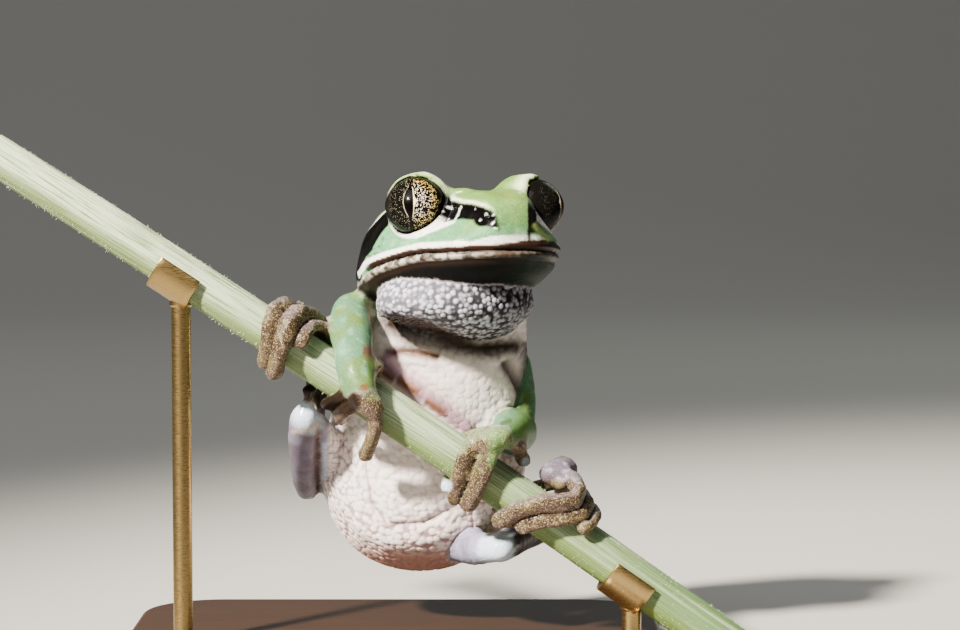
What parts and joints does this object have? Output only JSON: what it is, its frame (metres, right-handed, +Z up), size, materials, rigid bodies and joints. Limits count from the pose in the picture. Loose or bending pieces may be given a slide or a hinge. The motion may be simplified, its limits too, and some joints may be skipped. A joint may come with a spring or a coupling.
{
  "type": "leaf frog model on a perch",
  "caption": "Life-size leaf tree frog climbing and gripping a slanting green stem, held on two short rods over a flat wooden base.",
  "frame": {"origin": "middle of the model's footprint, on the underside of the base", "axes": "+Z up; +X along the stem towards its lower end, the animal's left; -Y is the side the frog's throat and muzzle face"},
  "size_m": [0.1192, 0.058, 0.0838],
  "materials": {
    "skin_green": "moist, satin, fine-grained leaf-green skin",
    "skin_belly": "moist granular cream skin",
    "skin_throat": "moist grey skin with pale granules",
    "skin_limb": "moist purple-grey skin",
    "skin_digit": "moist olive-brown skin with gold specks",
    "eye": "wet clear cornea over a gold iris with an upright slit pupil",
    "stem": "green herbaceous stem, finely ribbed",
    "stand_wood": "dark stained hardwood, satin varnish",
    "stand_metal": "satin turned brass"
  },
  "bodies": {
    "root": {"head": "skin_green", "lower_jaw": "skin_throat", "throat": "skin_throat", "eye_right": "eye", "eye_left": "eye", "neck": "skin_green", "chest": "skin_belly", "belly": "skin_belly", "pelvis": "skin_belly", "upper_arm_right": "skin_green", "forearm_right": "skin_green", "hand_right": "skin_digit", "finger_right_1": "skin_digit", "finger_right_2": "skin_digit", "finger_right_3": "skin_digit", "finger_right_4": "skin_digit", "thigh_right": "skin_limb", "shank_right": "skin_limb", "tarsus_right": "skin_limb", "foot_right": "skin_digit", "toe_right_1": "skin_digit", "toe_right_2": "skin_digit", "toe_right_3": "skin_digit", "toe_right_4": "skin_digit", "toe_right_5": "skin_digit", "upper_arm_left": "skin_green", "forearm_left": "skin_green", "hand_left": "skin_digit", "finger_left_1": "skin_digit", "finger_left_2": "skin_digit", "finger_left_3": "skin_digit", "finger_left_4": "skin_digit", "thigh_left": "skin_limb", "shank_left": "skin_limb", "tarsus_left": "skin_limb", "foot_left": "skin_digit", "toe_left_1": "skin_digit", "toe_left_2": "skin_digit", "toe_left_3": "skin_digit", "toe_left_4": "skin_digit", "toe_left_5": "skin_digit", "perch_stem": "stem", "stand_base": "stand_wood", "stand_rod_left": "stand_metal", "stand_rod_right": "stand_metal"}
  },
  "joints": []
}
